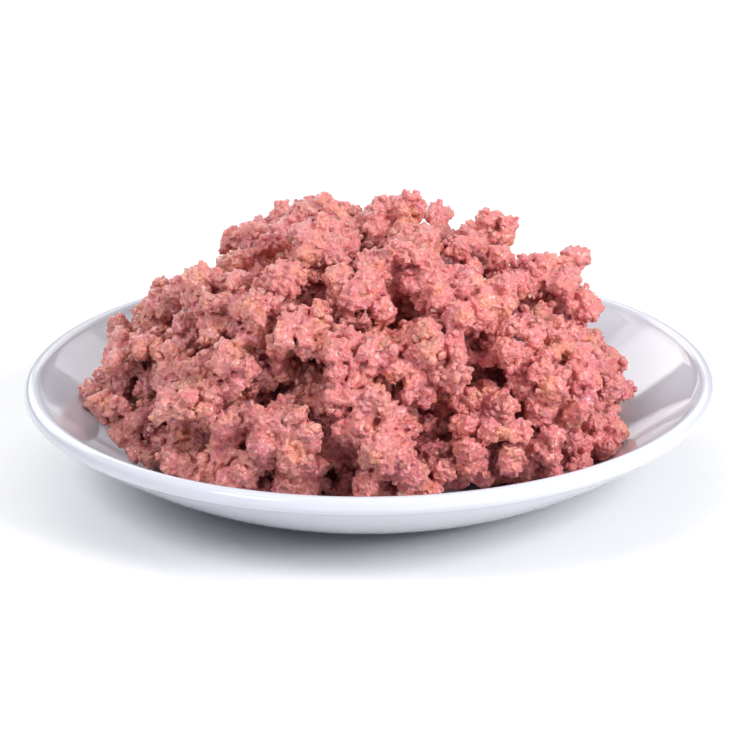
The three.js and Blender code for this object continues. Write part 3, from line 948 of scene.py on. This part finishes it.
def scatter_crumbs(surface, settings):
    """Lays the loose crumbs and flecks on the heap, one piece for each kind."""
    rng = np.random.default_rng(SEED + 2)
    surface = surface[rng.permutation(len(surface))]
    _, rests = np.unique(np.floor(surface[:, :3] / 2.6), axis=0, return_index=True)
    rests = rests[rng.permutation(len(rests))]
    places, normals = surface[:, :3], surface[:, 3:]
    kinds = {"loose_crumbs": (),
             "brown_crumbs": (tuple(settings.browned), tuple(settings.brown)),
             "pale_flecks": (tuple(settings.fat), tuple(settings.pale))}
    for name, count, sizes, stretch in LOOSE:
        chosen, rests = rests[:count], rests[count:]
        radii = rng.uniform(*sizes, count)
        mesh = crumbs_mesh(places[chosen], normals[chosen], radii, stretch, rng, name)
        piece = new_object(mesh, name)
        up = read_points(mesh, "normal")[:, 2]
        numbers = np.repeat(rng.random(count), len(up) // count)
        # painted light: faces turned up count as proud and get the painted highlight, undersides get
        # the painted shade
        mark(piece, 0.5 + 0.25 * up, np.zeros(len(up)), numbers)
        piece.data.materials.append(mince_material(settings, name, *kinds[name]))
        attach(piece, "root")
        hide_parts("meat_heap")


def studio_world():
    """Soft light from all round, dim at the level of the table and bright above."""
    world = bpy.data.worlds.new("studio")
    world.use_nodes = True
    nodes, links = world.node_tree.nodes, world.node_tree.links
    height = nodes.new("ShaderNodeSeparateXYZ")
    links.new(nodes.new("ShaderNodeTexCoord").outputs["Generated"], height.inputs[0])
    rise = ranged(nodes, links, height.outputs["Z"], 0.0, 0.55)
    links.new(mixed(nodes, links, rise, HORIZON, SKY), nodes["Background"].inputs["Color"])
    return world


class MINCE_OT_stage(bpy.types.Operator):
    """Make the floor, the lights and the camera."""
    bl_idname = "mince.stage"
    bl_label = "Stage"

    def execute(self, context):
        scene = context.scene
        bpy.ops.mesh.primitive_plane_add(size=6)
        floor = context.object
        floor.name = "floor"
        material, _, _, shader = new_material("floor")
        shader.inputs["Base Color"].default_value = (*scene.mince_stage.floor, 1)
        shader.inputs["Roughness"].default_value = 0.7
        floor.data.materials.append(material)
        scene.world = studio_world()
        for name, place, target, size, power in LAMPS:
            light = bpy.data.lights.new(name, "AREA")
            light.shape = "RECTANGLE"
            light.size, light.size_y = size
            light.energy = power
            lamp = new_object(light, name)
            lamp.location = place
            way = Vector(target) - Vector(place)
            lamp.rotation_euler = way.to_track_quat("-Z", "Y").to_euler()
        camera = bpy.data.cameras.new("camera")
        camera.sensor_width = SENSOR
        camera.lens = FOCAL_WIDTHS * SENSOR
        eye = new_object(camera, "camera")
        pitch, roll = math.radians(PITCH), math.radians(ROLL)
        ahead = Vector((0, math.cos(pitch), -math.sin(pitch)))
        side, up = Vector((1, 0, 0)), Vector((0, math.sin(pitch), math.cos(pitch)))
        right = side * math.cos(roll) - up * math.sin(roll)
        top = up * math.cos(roll) + side * math.sin(roll)
        eye.matrix_world = Matrix.Translation(Vector(AIM) - AWAY * ahead) @ \
            Matrix((right, top, -ahead)).transposed().to_4x4()
        scene.camera = eye
        scene.view_settings.view_transform = "Standard"
        return {"FINISHED"}


class MINCE_PT_panel(bpy.types.Panel):
    """The pieces of the plate of mince."""
    bl_label = "Plate of mince"
    bl_idname = "MINCE_PT_panel"
    bl_space_type = "VIEW_3D"
    bl_region_type = "UI"
    bl_category = "Mince"

    def draw(self, context):
        for kind in (MINCE_OT_plate, MINCE_OT_heap, MINCE_OT_stage):
            self.layout.operator(kind.bl_idname)


CLASSES = (PlateSettings, MinceSettings, StageSettings,
           MINCE_OT_plate, MINCE_OT_heap, MINCE_OT_stage, MINCE_PT_panel)


def register():
    for kind in CLASSES:
        bpy.utils.register_class(kind)
    bpy.types.Scene.mince_plate = bpy.props.PointerProperty(type=PlateSettings)
    bpy.types.Scene.mince_heap = bpy.props.PointerProperty(type=MinceSettings)
    bpy.types.Scene.mince_stage = bpy.props.PointerProperty(type=StageSettings)


def unregister():
    del bpy.types.Scene.mince_stage
    del bpy.types.Scene.mince_heap
    del bpy.types.Scene.mince_plate
    for kind in reversed(CLASSES):
        bpy.utils.unregister_class(kind)


def main():
    register()
    bpy.ops.mince.plate()
    bpy.ops.mince.heap()
    bpy.ops.mince.stage()
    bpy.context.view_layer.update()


if __name__ == "__main__":
    main()
